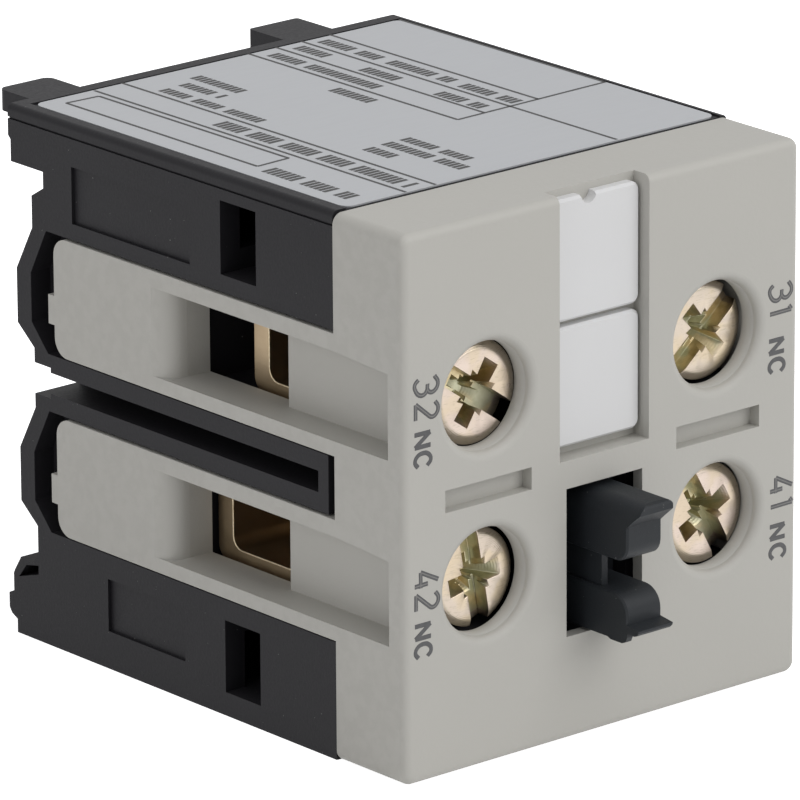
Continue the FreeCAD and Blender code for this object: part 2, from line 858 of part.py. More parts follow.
def block_nodes():
    """Every node of the block with its shape."""
    found = {
        "front_cover": front_cover(),
        "rear_base": rear_base(),
        "slider": slider(),
        "rating_label": rating_label(),
        "marker_tab_upper": marker_tab(tab_split_z, height - tab_top_gap, True),
        "marker_tab_lower": marker_tab(marker_floor_z + tab_sill_gap, tab_split_z - tab_spacing, False),
        "return_spring": coil_spring(0, middle_z, return_spring_radius, return_spring_turns,
                                     ladder_end - spring_seat_depth, rear_wall_inside),
    }
    terminals = [("31", 1, upper_pole), ("32", -1, upper_pole), ("41", 1, lower_pole), ("42", -1, lower_pole)]
    for name, side, pole in terminals:
        found["screw_" + name] = terminal_screw(name, side * terminal_x, pole)
        found["cage_" + name] = terminal_cage(name, side * terminal_x, pole)
        found["contact_bar_" + name] = contact_bar(side, pole)
        found["fixed_tip_" + name] = fixed_tip(side, pole)
    for level, pole in (("lower", lower_pole), ("upper", upper_pole)):
        found["bridge_" + level] = bridge(pole)
        found["bridge_tips_" + level] = bridge_tips(pole)
        found["contact_spring_" + level] = coil_spring(0, pole, contact_spring_radius, contact_spring_turns,
                                                       bridge_back, window_back)
    return found


os.makedirs("parts", exist_ok=True)
for node, shape in block_nodes().items():
    shape.exportStep("parts/" + node + ".step")
    print(node, shape.isValid(), len(shape.Solids), round(shape.Volume, 3))
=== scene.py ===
import math
import random

import bmesh
import bpy
from mathutils import Matrix, Vector


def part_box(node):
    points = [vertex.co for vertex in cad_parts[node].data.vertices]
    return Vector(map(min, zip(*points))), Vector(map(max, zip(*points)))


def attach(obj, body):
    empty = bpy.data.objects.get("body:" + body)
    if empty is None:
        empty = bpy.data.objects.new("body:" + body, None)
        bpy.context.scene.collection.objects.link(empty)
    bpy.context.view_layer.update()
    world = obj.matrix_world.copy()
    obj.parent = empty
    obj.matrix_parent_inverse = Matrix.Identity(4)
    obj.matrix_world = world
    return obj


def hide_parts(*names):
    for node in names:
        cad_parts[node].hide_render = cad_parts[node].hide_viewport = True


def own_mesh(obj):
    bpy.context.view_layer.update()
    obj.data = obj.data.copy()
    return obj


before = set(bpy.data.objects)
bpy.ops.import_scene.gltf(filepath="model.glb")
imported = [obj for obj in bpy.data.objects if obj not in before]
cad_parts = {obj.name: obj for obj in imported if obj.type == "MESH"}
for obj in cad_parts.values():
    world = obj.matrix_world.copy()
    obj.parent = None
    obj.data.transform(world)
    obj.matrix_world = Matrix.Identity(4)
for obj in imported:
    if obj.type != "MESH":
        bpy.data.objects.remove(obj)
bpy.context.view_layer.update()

# The block stands on its lower side in a pale studio. The camera looks slightly down on the
# operating face and the left side, from almost half a metre away, with a long lens.
MM = 0.001
TARGET = Vector((0, -0.9, 15)) * MM
DISTANCE = 462.97 * MM
AZIMUTH, ELEVATION, ROLL = math.radians(-40.443), math.radians(17.702), math.radians(-0.329)
FOCAL_PIXELS = 8839.2
FRAME_PIXELS = 800
SHIFT_PIXELS = (12.95, -14.47)
SENSOR_WIDTH = 36


def towards(azimuth, elevation):
    """The direction from the block to a place at these angles, in radians."""
    level = math.cos(elevation)
    return Vector((math.sin(azimuth) * level, -math.cos(azimuth) * level, math.sin(elevation)))


away = towards(AZIMUTH, ELEVATION)
camera_data = bpy.data.cameras.new("camera")
camera_data.sensor_width = SENSOR_WIDTH
camera_data.lens = FOCAL_PIXELS / FRAME_PIXELS * SENSOR_WIDTH
camera_data.shift_x = -SHIFT_PIXELS[0] / FRAME_PIXELS
camera_data.shift_y = SHIFT_PIXELS[1] / FRAME_PIXELS
camera_data.clip_start = 0.01
camera_data.clip_end = 10
camera = bpy.data.objects.new("camera", camera_data)
stand = Matrix.Translation(TARGET + away * DISTANCE)
facing = (-away).to_track_quat("-Z", "Y").to_matrix().to_4x4()
camera.matrix_world = stand @ facing @ Matrix.Rotation(ROLL, 4, "Z")
bpy.context.scene.collection.objects.link(camera)
bpy.context.scene.camera = camera
bpy.context.scene.view_settings.view_transform = "Standard"

# Three square softboxes light the block: the strongest one in front and to the right, a weak one
# on the left, which keeps that side dark, and one almost overhead for the soft shadow.
LAMP_DISTANCE = 0.5


def softbox(name, azimuth, elevation, size, power):
    """A square area lamp that faces the middle of the block; its angles are in degrees."""
    lamp = bpy.data.lights.new(name, "AREA")
    lamp.size = size
    lamp.energy = power
    body = bpy.data.objects.new(name, lamp)
    direction = towards(math.radians(azimuth), math.radians(elevation))
    body.location = TARGET + direction * LAMP_DISTANCE
    body.rotation_euler = (-direction).to_track_quat("-Z", "Y").to_euler()
    bpy.context.scene.collection.objects.link(body)


softbox("front_softbox", azimuth=25, elevation=35, size=0.35, power=1.12)
softbox("left_softbox", azimuth=-85, elevation=20, size=0.3, power=0.36)
softbox("top_softbox", azimuth=0, elevation=80, size=0.4, power=0.5)

# The floor is one large sheet of pale paper, which keeps the block's shadow. It and the world
# behind it show white in camera, glossy and transmitted rays, and light the block less than that.
FLOOR_SIZE = 3.0
PAPER_WHITES = (0.86, 0.86, 0.86), (0.9, 0.9, 0.9)
PAPER_GLOW = (0.0, 0.0, 0.0), (0.85, 0.85, 0.85)
SKY_WHITES = (0.42, 0.42, 0.43), (1, 1, 1)


class Shade:
    """A socket in a node tree, so that shader maths reads as plain expressions."""

    def __init__(self, tree, socket=None):
        self.tree = tree
        self.socket = socket

    def node(self, kind, settings=None, sockets=None, out=0):
        """Adds a node, sets its settings first, fills its sockets and returns one output."""
        made = self.tree.nodes.new("ShaderNode" + kind)
        for name, value in (settings or {}).items():
            setattr(made, name, value)
        for key, value in (sockets or {}).items():
            target = made.inputs[key]
            if isinstance(value, Shade):
                self.tree.links.new(value.socket, target)
            elif target.type == "RGBA":
                target.default_value = (*value, 1)
            else:
                target.default_value = value
        return Shade(self.tree, made.outputs[out])

    def maths(self, operation, *values):
        return self.node("Math", {"operation": operation}, dict(enumerate(values)))

    def __add__(self, other):
        return self.maths("ADD", self, other)

    def __sub__(self, other):
        return self.maths("SUBTRACT", self, other)

    def __rsub__(self, other):
        return self.maths("SUBTRACT", other, self)

    def __mul__(self, other):
        return self.maths("MULTIPLY", self, other)

    def __pow__(self, other):
        return self.maths("POWER", self, other)

    def __rpow__(self, other):
        return self.maths("POWER", other, self)

    def __abs__(self):
        return self.maths("ABSOLUTE", self)

    __radd__ = __add__
    __rmul__ = __mul__

    def noise(self, place, scale, detail=2):
        """Smooth noise between 0 and 1; scale counts features per metre."""
        return self.node("TexNoise", None, {"Vector": place, "Scale": scale, "Detail": detail})

    def between(self, low, high):
        """0 below low and 1 above high, smooth between them."""
        return self.node("MapRange", {"interpolation_type": "SMOOTHSTEP"},
                         {"Value": self, "From Min": low, "From Max": high})

    def mix(self, first, second):
        """The first colour where this value is 0 and the second where it is 1."""
        # A Mix node names its colour sockets like its others, so they go by number.
        return self.node("Mix", {"data_type": "RGBA"}, {"Factor": self, 6: first, 7: second}, out=2)

    def bump(self, height, strength):
        """A normal that follows this value as a relief of this height, in millimetres."""
        return self.node("Bump", None,
                         {"Height": self, "Distance": height * MM, "Strength": strength})


def new_material(name, finish):
    """A material whose sockets come from finish(shade, place); place is a point on the piece."""
    material = bpy.data.materials.new(name)
    material.use_nodes = True
    tree = material.node_tree
    shader = tree.nodes["Principled BSDF"]
    shade = Shade(tree)
    for socket, value in finish(shade, shade.node("TexCoord", out="Object")).items():
        if isinstance(value, Shade):
            tree.links.new(value.socket, shader.inputs[socket])
        else:
            shader.inputs[socket].default_value = value
    return material


def shown_rays(shade):
    """1 for the rays that show the backdrop: from the camera, glossy and transmitted ones."""
    seen = shade.node("LightPath", out="Is Camera Ray")
    mirrored = shade.node("LightPath", out="Is Glossy Ray")
    passed = shade.node("LightPath", out="Is Transmission Ray")
    return shade.maths("MAXIMUM", shade.maths("MAXIMUM", seen, mirrored), passed)


def floor_finish(shade, place):
    return {"Base Color": shade.noise(place, 3).mix(*PAPER_WHITES),
            "Roughness": 0.85, "Specular IOR Level": 0.0,
            "Emission Color": shown_rays(shade).mix(*PAPER_GLOW), "Emission Strength": 1.0}


half = FLOOR_SIZE / 2
floor_corners = [(-half, -half, 0), (half, -half, 0), (half, half, 0), (-half, half, 0)]
floor_mesh = bpy.data.meshes.new("floor")
floor_mesh.from_pydata(floor_corners, [], [(0, 1, 2, 3)])
floor_mesh.materials.append(new_material("floor_paper", floor_finish))
floor = bpy.data.objects.new("floor", floor_mesh)
bpy.context.scene.collection.objects.link(floor)

world = bpy.data.worlds.new("studio")
world.use_nodes = True
bpy.context.scene.world = world
sky = shown_rays(Shade(world.node_tree)).mix(*SKY_WHITES)
background = world.node_tree.nodes["Background"]
world.node_tree.links.new(sky.socket, background.inputs["Color"])

# The front cover is one light grey thermoplastic moulding, with its face, its rims and four side
# tongues that run back into the base. Its surface comes from a finely eroded mould, and the
# mouths of its driver holes and the ends of its wire funnels are rounded.
COVER_GREYS = (0.44, 0.43, 0.397), (0.465, 0.455, 0.42)
COVER_MOTTLE = (0.33, 0.32, 0.29)
FLANK_START, FLANK_FULL = 13.3, 13.45
LOWER_POLE, POLE_SPACING, TERMINAL_X = 9.75, 9.9, 7.85
# The side and the level of each terminal: 1 is the right side, and the upper pole.
TERMINALS = {"31": (1, 1), "32": (-1, 1), "41": (1, 0), "42": (-1, 0)}
HOLE_RADIUS, HOLE_ROUND, HOLE_STEPS = 2.87, 0.5, 96
SIDE_X, FUNNEL_END, FUNNEL_ROUND, FUNNEL_LEAD = 13.5, 18.74, 1.3, 0.4
FUNNEL_LOW, FUNNEL_HIGH = 2.45, 2.35
ARC_STEPS = 8
# How far a cutter stands out of the face that it cuts.
CLEAR = 1
WELD_DISTANCE = 0.001


def cover_finish(shade, place):
    cloud = shade.noise(place, 90, 3)
    grain = shade.noise(place, 4200, 3)
    across = shade.node("SeparateXYZ", None, {"Vector": place}, out="X")
    flank = abs(across).between(FLANK_START * MM, FLANK_FULL * MM)
    mottle = shade.noise(place, 1500, 3).between(0.35, 0.65)
    return {"Base Color": (flank * mottle * 0.16).mix(cloud.mix(*COVER_GREYS), COVER_MOTTLE),
            "Roughness": 0.46 + 0.12 * grain, "Specular IOR Level": 0.35,
            "Normal": (grain + flank * mottle).bump(0.03, 0.35)}


def terminal_place(name):
    """The x and z of a terminal's screw."""
    side, level = TERMINALS[name]
    return side * TERMINAL_X, LOWER_POLE + level * POLE_SPACING


def in_scene(name, mesh, material=None):
    """Puts a mesh in the scene as an object; without a material it keeps its own."""
    piece = bpy.data.objects.new(name, mesh)
    if material:
        mesh.materials.clear()
        mesh.materials.append(material)
    bpy.context.scene.collection.objects.link(piece)
    return piece


def solid(name, corners, faces):
    """A mesh from corners in millimetres, with its faces turned outwards."""
    mesh = bpy.data.meshes.new(name)
    mesh.from_pydata([Vector(corner) * MM for corner in corners], [], faces)
    shape = bmesh.new()
    shape.from_mesh(mesh)
    bmesh.ops.recalc_face_normals(shape, faces=shape.faces)
    shape.to_mesh(mesh)
    shape.free()
    mesh.polygons.foreach_set("use_smooth", [True] * len(faces))
    return mesh


def lathe(name, profile, x, z, steps):
    """A closed solid turned about a line along Y, at x and z, from points of radius and f.

    The f of a point is its distance behind the front face, and the ends lie on the line.
    """
    rings, corners, faces = [], [], []
    for radius, f in profile:
        start = len(corners)
        around = [2 * math.pi * step / steps for step in range(steps)] if radius else [0]
        for a in around:
            corners.append((x + radius * math.cos(a), front_y + f, z + radius * math.sin(a)))
        rings.append([start + step % len(around) for step in range(steps)])
    for near, far in zip(rings, rings[1:]):
        for step in range(steps):
            ahead = (step + 1) % steps
            face = [near[step], far[step], far[ahead], near[ahead]]
            faces.append(list(dict.fromkeys(face)))
    return solid(name, corners, faces)


def shell_faces(count, start=0):
    """The faces of a closed solid between two outlines of count corners each."""
    faces = [list(range(count)), list(range(2 * count - 1, count - 1, -1))]
    for corner in range(count):
        ahead = (corner + 1) % count
        faces.append([corner, corner + count, ahead + count, ahead])
    return [[start + corner for corner in face] for face in faces]


def shaped(piece, edit):
    """The piece's mesh after the modifiers that edit(piece) adds; the piece itself goes."""
    edit(piece)
    bpy.context.view_layer.update()
    finished = piece.evaluated_get(bpy.context.evaluated_depsgraph_get())
    mesh = bpy.data.meshes.new_from_object(finished)
    bpy.data.objects.remove(piece)
    return mesh


def reshaped_node(name, node, edit, material):
    """A copy of a CAD node after the modifiers that edit(piece) adds, in the node's place."""
    copy = in_scene(name, node.data.copy())
    copy.matrix_world = node.matrix_world
    piece = in_scene(name, shaped(copy, edit), material)
    piece.matrix_world = node.matrix_world
    return piece


def carve(piece, cutters):
    for cutter in cutters:
        cut = piece.modifiers.new("cut", "BOOLEAN")
        cut.operation = "DIFFERENCE"
        cut.solver = "EXACT"
        cut.object = cutter


def finish_cover(piece):
    piece.modifiers.new("weld", "WELD").merge_threshold = WELD_DISTANCE * MM
    carve(piece, flares)
    piece.modifiers.new("normals", "WEIGHTED_NORMAL").keep_sharp = True


front_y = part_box("front_cover")[0].y / MM
rounding = [(0, -CLEAR), (HOLE_RADIUS + HOLE_ROUND, -CLEAR)]
for step in range(ARC_STEPS + 1):
    turn = math.radians(90 - 90 * step / ARC_STEPS)
    rounding.append((HOLE_RADIUS + HOLE_ROUND * (1 - math.cos(turn)),
                     HOLE_ROUND * (1 - math.sin(turn))))
rounding.append((0, HOLE_ROUND))
flares = []
for name in TERMINALS:
    mouth = lathe("flare", rounding, *terminal_place(name), HOLE_STEPS)
    flares.append(in_scene("flare", mouth))

funnel = [(SIDE_X + CLEAR, FUNNEL_END - FUNNEL_LEAD),
          (SIDE_X - FUNNEL_ROUND, FUNNEL_END - FUNNEL_LEAD)]
for step in range(ARC_STEPS + 1):
    turn = math.radians(90 * step / ARC_STEPS)
    funnel.append((SIDE_X - FUNNEL_ROUND * (1 - math.sin(turn)),
                   FUNNEL_END + FUNNEL_ROUND * (1 - math.cos(turn))))
funnel.append((SIDE_X + CLEAR, FUNNEL_END + FUNNEL_ROUND))
for side, level in TERMINALS.values():
    pole = LOWER_POLE + level * POLE_SPACING
    heights = (pole - FUNNEL_LOW, pole + FUNNEL_HIGH)
    corners = [(side * x, front_y + f, z) for z in heights for x, f in funnel]
    flares.append(in_scene("flare", solid("flare", corners, shell_faces(len(funnel)))))

cover_plastic = new_material("cover_plastic", cover_finish)
cover = reshaped_node("cover_shell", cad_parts["front_cover"], finish_cover, cover_plastic)
for flare in flares:
    bpy.data.objects.remove(flare)
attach(cover, "housing")
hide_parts("front_cover")

# The terminal marks are pad printed on the cover in dark grey ink, beside the driver holes: the
# number of each terminal, then NC for its normally closed contact. On the numbers a lighter core
# runs inside each stroke, and the dark rims beside it are painted shade, as on engraved walls.
INK_AND_SHADE_GREYS = (0.05, 0.05, 0.052), (0.09, 0.09, 0.092)
CORE_GREYS = (0.15, 0.147, 0.14), (0.22, 0.215, 0.205)
STROKE_WIDTH, STROKE_HEIGHT = 0.25, 0.012
CORE_WIDTH, CORE_HEIGHT = 0.07, 0.016
# Each character is a set of strokes in millimetres: whether they are curved, then their points,
# to the right and upwards from the lower left corner of the character.
STROKES = {
    "1": [(False, [(0.02, 1.45), (0.25, 1.62), (0.27, 0.12)])],
    "2": [(True, [(0.14, 1.43), (0.48, 1.63), (0.82, 1.5), (0.92, 1.22), (0.78, 0.96)]),
          (False, [(0.8, 1.0), (0.08, 0.15), (0.92, 0.14)])],
    "3": [(True, [(0.07, 1.4), (0.5, 1.63), (0.84, 1.43), (0.9, 1.14), (0.74, 0.95),
                  (0.42, 0.94)]),
          (True, [(0.7, 0.93), (0.9, 0.78), (0.95, 0.48), (0.67, 0.16), (0.33, 0.1),
                  (0.1, 0.34)])],
    "4": [(False, [(0.66, 1.62), (0.06, 0.46), (0.9, 0.46)]),
          (False, [(0.74, 0.93), (0.76, 0.06)])],
    "N": [(False, [(0.08, 0.06), (0.08, 1.1), (0.76, 0.08), (0.76, 1.12)])],
    "C": [(True, [(0.79, 0.89), (0.51, 1.13), (0.2, 0.98), (0.09, 0.6), (0.22, 0.22),
                  (0.5, 0.09), (0.79, 0.29)])],
}
# Left edge of the marks, and how far the tops of the four characters lie above the pole.
MARKS = {
    "31": (11.35, (2.0, 0.64, -1.01, -2.05)),
    "32": (-12.83, (1.98, 0.69, -0.91, -1.94)),
    "41": (11.5, (1.33, -0.02, -1.29, -2.37)),
    "42": (-12.87, (1.64, 0.49, -1.17, -2.18)),
}


# Dark grey ink for all the marks; on the numbers, its rims beside the lighter core are painted
# shade.
def ink_and_shade_finish(shade, place):
    worn = shade.noise(place, 4000, 3)
    return {"Base Color": worn.mix(*INK_AND_SHADE_GREYS), "Roughness": 0.55}


def core_finish(shade, place):
    worn = shade.noise(place, 4000, 3)
    return {"Base Color": worn.mix(*CORE_GREYS), "Roughness": 0.55}


def printed_strokes(name, marks, width, height, material):
    """Strokes as flattened round cords; marks holds character, x and z of each corner."""
    curve = bpy.data.curves.new(name, "CURVE")
    curve.dimensions = "3D"
    curve.bevel_depth = width / 2 * MM
    curve.bevel_resolution = 2
    curve.resolution_u = 5
    curve.use_fill_caps = True
    for character, x, z in marks:
        for curved, points in STROKES[character]:
            for stroke in [points] if curved else zip(points, points[1:]):
                spline = curve.splines.new("BEZIER")
                spline.bezier_points.add(len(stroke) - 1)
                for knot, (right, up) in zip(spline.bezier_points, stroke):
                    knot.co = Vector((x + up, 0, z - right)) * MM
                    knot.handle_left_type = knot.handle_right_type = "AUTO"
    mesh = shaped(in_scene(name, curve), lambda piece: None)
    flat = Matrix.Diagonal((1, height * 2 / width, 1, 1))
    mesh.transform(Matrix.Translation((0, front_y * MM, 0)) @ flat)
    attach(in_scene(name, mesh, material), "housing")


ink_and_painted_shade = new_material("marking_ink_and_painted_shade", ink_and_shade_finish)
stroke_core_paint = new_material("marking_stroke_core", core_finish)
for name, (x, tops) in MARKS.items():
    pole = terminal_place(name)[1]
    marks = [(character, x, pole + top) for character, top in zip(name + "NC", tops)]
    printed_strokes("print_" + name, marks, STROKE_WIDTH, STROKE_HEIGHT, ink_and_painted_shade)
    # The lighter cores on the numbers leave the dark ink at the stroke rims as painted shade.
    printed_strokes("print_core_" + name, marks[:2], CORE_WIDTH, CORE_HEIGHT, stroke_core_paint)

# The rear base is a black glass-filled moulding, with two lugs on top and snap hooks below, by
# which it hangs on its host. It has the slightly cloudy, fine-grained skin of such a plastic.
BASE_BLACKS = (0.0105, 0.0099, 0.0119), (0.0158, 0.0152, 0.0175)
BASE_SPECK = (0.12, 0.12, 0.115)
SHARP_CORNER = math.radians(32)


def base_finish(shade, place):
    cloud = shade.noise(place, 160, 3)
    grain = shade.noise(place, 6500, 3)
    speck = shade.noise(place, 5200, 1).between(0.8, 0.81)
    return {"Base Color": speck.mix(cloud.mix(*BASE_BLACKS), BASE_SPECK),
            "Roughness": 0.42 + 0.2 * grain, "Specular IOR Level": 0.16,
            "Normal": grain.bump(0.02, 0.4)}


def dress(nodes, material):
    """Gives CAD nodes their material, and smooth shading that keeps their corners sharp."""
    for name in nodes:
        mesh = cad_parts[name].data
        mesh.materials.clear()
        mesh.materials.append(material)
        mesh.polygons.foreach_set("use_smooth", [True] * len(mesh.polygons))
        mesh.set_sharp_from_angle(angle=SHARP_CORNER)


dress(["rear_base"], new_material("base_plastic", base_finish))

# The rating label is a silver foil sticker on the upper side of the base. Its dark print is a
# table of thin rules, with an empty frame and rows of fine ticks.
FOIL_GREYS = (0.41, 0.42, 0.437), (0.46, 0.47, 0.487)
LABEL_INK_BLACKS = (0.02, 0.02, 0.02), (0.045, 0.044, 0.043)
RULE_WIDTH, TICK_WIDTH, TICK_GAP, WORD_GAP = 0.18, 0.26, 0.1, 0.5
WORD_TICKS, WORD_END_CHANCE = 5, 0.3
PRINT_THICKNESS, PRINT_SUNK = 0.012, 0.004
# Rules: x and f of both ends, in millimetres from the middle and behind the front face.
RULES = [
    (-8.4, 30.9, -8.4, 5.7), (-6.4, 31.1, -6.4, 5.7), (2.25, 31.2, 2.25, 14.0),
    (4.15, 31.2, 4.15, 14.1), (5.95, 31.2, 5.95, 5.75), (7.95, 31.2, 7.95, 14.1),
    (2.25, 14.0, 12.8, 14.3), (12.75, 14.3, 12.75, 31.0), (-11.0, 30.0, -8.9, 29.9),
    (-8.9, 29.9, -8.9, 14.35), (-11.05, 14.25, -8.9, 14.35), (-11.0, 30.0, -11.05, 14.25),
]
# Rows: x of the foot of the ticks, f of the row's start and end, and height of the ticks.
ROWS = [
    (-7.95, 21.6, 6.5, 1.05), (-11.5, 13.3, 6.6, 1.0), (-5.95, 28.5, 20.4, 0.75),
    (-4.5, 28.6, 25.5, 0.75), (-3.15, 29.3, 25.2, 0.8), (0.75, 22.6, 19.2, 0.85),
    (2.7, 30.0, 21.3, 0.85), (4.65, 30.2, 27.5, 0.85), (4.5, 24.6, 21.8, 0.85),
    (4.4, 18.4, 14.9, 0.85), (6.45, 30.3, 25.5, 0.85), (6.45, 24.7, 19.6, 0.85),
    (6.35, 18.7, 14.6, 0.85), (-2.5, 13.0, 8.0, 0.75), (-3.75, 13.0, 6.3, 0.8),
    (-5.1, 12.9, 10.8, 0.8),
]


def foil_finish(shade, place):
    drawn = shade.node("Mapping", None, {"Vector": place, "Scale": (1, 12, 1)})
    streak = shade.noise(drawn, 500, 3)
    return {"Base Color": streak.mix(*FOIL_GREYS),
            "Metallic": 0.35, "Roughness": 0.42 + 0.08 * streak}


def label_ink_finish(shade, place):
    worn = shade.noise(place, 3000, 3)
    return {"Base Color": worn.mix(*LABEL_INK_BLACKS), "Roughness": 0.6}


def flat_bar(x0, f0, x1, f1, width):
    """Adds a thin printed bar on the label, from one point to another."""
    run = Vector((x1 - x0, f1 - f0)).normalized()
    side = Vector((-run.y, run.x)) * width / 2
    start = len(corners)
    for top in (0, PRINT_THICKNESS):
        for x, f, s in ((x0, f0, 1), (x0, f0, -1), (x1, f1, -1), (x1, f1, 1)):
            corners.append(Vector((x + s * side.x, front_y + f + s * side.y,
                                   label_top - PRINT_SUNK + top)) * MM)
    faces.extend(shell_faces(4, start))


dress(["rating_label"], new_material("label_foil", foil_finish))
label_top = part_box("rating_label")[1].z / MM
corners, faces = [], []
for rule in RULES:
    flat_bar(*rule, RULE_WIDTH)
random.seed(4)
for foot, start, end, tall in ROWS:
    f, in_word = start, 0
    while f > end:
        flat_bar(foot, f, foot + tall, f, TICK_WIDTH)
        in_word += 1
        f -= TICK_WIDTH + TICK_GAP
        if in_word > WORD_TICKS and random.random() < WORD_END_CHANCE:
            f, in_word = f - WORD_GAP, 0
label_print = bpy.data.meshes.new("label_print")
label_print.from_pydata(corners, [], faces)
label_ink = new_material("label_ink", label_ink_finish)
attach(in_scene("label_print", label_print, label_ink), "housing")

# The two marker tabs are small clips of white plastic, whiter and smoother than the cover. They
# slide into the recess of the cover between the poles.
TAB_WHITES = (0.63, 0.63, 0.63), (0.67, 0.67, 0.67)


def tab_finish(shade, place):
    cloud = shade.noise(place, 200, 3)
    return {"Base Color": cloud.mix(*TAB_WHITES),
            "Roughness": 0.42 + 0.1 * cloud, "Specular IOR Level": 0.4,
            "Normal": shade.noise(place, 7000, 2).bump(0.01, 0.3)}


dress(["marker_tab_upper", "marker_tab_lower"], new_material("tab_plastic", tab_finish))

# The slider carries the two contact bridges and stands out of the window with its prongs. It is
# moulded from a slippery black plastic, bluer than the base and a little lighter.
SLIDER_BLACKS = (0.014, 0.0162, 0.0188), (0.019, 0.0218, 0.0252)
SLIDER_SPECK = (0.16, 0.16, 0.155)


def slider_finish(shade, place):
    cloud = shade.noise(place, 300, 3)
    grain = shade.noise(place, 9000, 2)
    speck = shade.noise(place, 5200, 1).between(0.77, 0.8)
    return {"Base Color": speck.mix(cloud.mix(*SLIDER_BLACKS), SLIDER_SPECK),
            "Roughness": 0.4 + 0.2 * grain, "Specular IOR Level": 0.22,
            "Normal": grain.bump(0.015, 0.35)}


dress(["slider"], new_material("slider_plastic", slider_finish))

# The terminal screws are steel, turned and cold headed with a slot and a star recess, then zinc
# plated. The plating is thin and yellowish, and driver bits have scratched it. Each screw stands
# at its own angle, and three of them sit a little deeper than the fourth.
ZINC_GREYS = (0.42, 0.345, 0.29), (0.6, 0.51, 0.445)
ZINC_TINT = (0.5, 0.41, 0.25)
# The dark colour of the scratches, also used as painted shade on the sloped shoulder of the head.
ZINC_SCRATCH_AND_SHADE = (0.25, 0.22, 0.165)
RECESS_OLIVES = (0.3, 0.29, 0.19), (0.5, 0.49, 0.36)
RECESS_GOLDS = (0.34, 0.25, 0.13), (0.68, 0.55, 0.33)
RECESS_START, RECESS_FULL, RECESS_RADIUS = 0.06, 0.5, 2.3
RIM_START, RIM_FULL = 2.15, 2.4
TURNING_PITCH = 0.09
FACE, SLOT_WIDTH, SLOT_FLOOR, SLOT_REACH = 0.95, 1.2, 2.05, 4
STAR_REACH, STAR_HALF, STAR_CORE, STAR_SPIKE = 1.7, 0.5, 0.9, 1.22
STAR_FLOOR, STAR_TAPER, STAR_LEAD = 2.75, 0.35, 0.3
SCREW_ROUND, SCREW_CORNER, SCREW_STEPS = 0.05, 35, 48
SLOT_ANGLE = {"31": 40, "32": -35, "41": -61, "42": -80}
HEAD_SUNK = {"31": 0.18, "32": 0, "41": 0.03, "42": 0.16}
HEAD_RADIUS = {"31": 2.67, "32": 2.8, "41": 2.77, "42": 2.64}
# The screw's profile from the middle of its head to its end: radius, and f behind the front.
SCREW_PROFILE = [
    (0, FACE), (2.2, FACE + 0.02), (2.32, FACE + 0.06), (2.7, FACE + 0.22), (2.8, FACE + 0.34),
    (2.8, 3.2), (1.75, 3.2), (1.75, 11.25), (1.47, 11.52), (0, 11.52),
]


def screw_finish(shade, place):
    x, y, z = (shade.node("SeparateXYZ", None, {"Vector": place}, out=axis) for axis in "XYZ")
    depth = y - front_y * MM
    off_x = abs(x) - TERMINAL_X * MM
    off_z = abs(z - (LOWER_POLE + POLE_SPACING / 2) * MM) - POLE_SPACING / 2 * MM
    radius = (off_x * off_x + off_z * off_z) ** 0.5
    rings = shade.maths("SINE", radius * (2 * math.pi / (TURNING_PITCH * MM)))
    stain = shade.noise(place, 700, 3)
    fleck = shade.noise(place, 2600, 3)
    tint = shade.noise(place, 650, 2).between(0.42, 0.6)
    drawn = shade.node("Mapping", None, {"Vector": place, "Scale": (1, 1, 6)})
    scratch = shade.noise(drawn, 2400, 3).between(0.56, 0.68)
    # The sloped shoulder of the head, from RIM_START outwards, is painted darker as shade, in the
    # scratches' colour.
    rim = radius.between(RIM_START * MM, RIM_FULL * MM)
    face = (tint * 0.4).mix(stain.mix(*ZINC_GREYS), ZINC_TINT)
    face = (rim * 0.6 + scratch * 0.35).mix(face, ZINC_SCRATCH_AND_SHADE)
    recess = (tint * 0.7).mix(fleck.mix(*RECESS_OLIVES), fleck.mix(*RECESS_GOLDS))
    deep = depth.between((FACE + RECESS_START) * MM, (FACE + RECESS_FULL) * MM)
    inside = deep * shade.maths("LESS_THAN", radius, RECESS_RADIUS * MM)
    return {"Base Color": inside.mix(face, recess),
            "Metallic": 1.0, "Roughness": 0.24 + 0.14 * stain,
            "Normal": (rings * 0.5 + stain).bump(0.006, 0.5)}


def turned(u, v, angle):
    """A point of the recess, turned about the middle of the head by an angle in degrees."""
    a = math.radians(angle)
    return u * math.cos(a) - v * math.sin(a), u * math.sin(a) + v * math.cos(a)


def recess_cutters(x, z, angle):
    """The slot, and the tapered cross with spikes between its arms, as two closed solids."""
    arm = [(STAR_REACH, -STAR_HALF), (STAR_REACH, STAR_HALF)]
    arm += [turned(STAR_CORE, 0, 30), turned(STAR_SPIKE, 0, 45), turned(STAR_CORE, 0, 60)]
    star = [turned(u, v, angle + 90 * quarter) for quarter in range(4) for u, v in arm]
    half = SLOT_WIDTH / 2
    ends = [(SLOT_REACH, -half), (SLOT_REACH, half), (-SLOT_REACH, half), (-SLOT_REACH, -half)]
    slot = [turned(u, v, angle) for u, v in ends]
    mouth = 1 + (1 - STAR_TAPER) * STAR_LEAD
    cutters = []
    for outline, near, far in ((star, (FACE - STAR_LEAD, mouth), (STAR_FLOOR, STAR_TAPER)),
                               (slot, (-CLEAR, 1), (SLOT_FLOOR, 1))):
        corners = [(x + u * size, front_y + f, z + v * size)
                   for f, size in (near, far) for u, v in outline]
        cutter = solid("recess", corners, shell_faces(len(outline)))
        cutters.append(in_scene("recess", cutter))
    return cutters


def soften(piece, width, angle):
    """Rounds the corners sharper than an angle, and keeps large faces flat in their shading."""
    bevel = piece.modifiers.new("bevel", "BEVEL")
    bevel.width = width * MM
    bevel.segments = 2
    bevel.limit_method = "ANGLE"
    bevel.angle_limit = math.radians(angle)
    bevel.harden_normals = False
    piece.modifiers.new("normals", "WEIGHTED_NORMAL").keep_sharp = True


def finish_screw(piece):
    carve(piece, cutters)
    soften(piece, SCREW_ROUND, SCREW_CORNER)


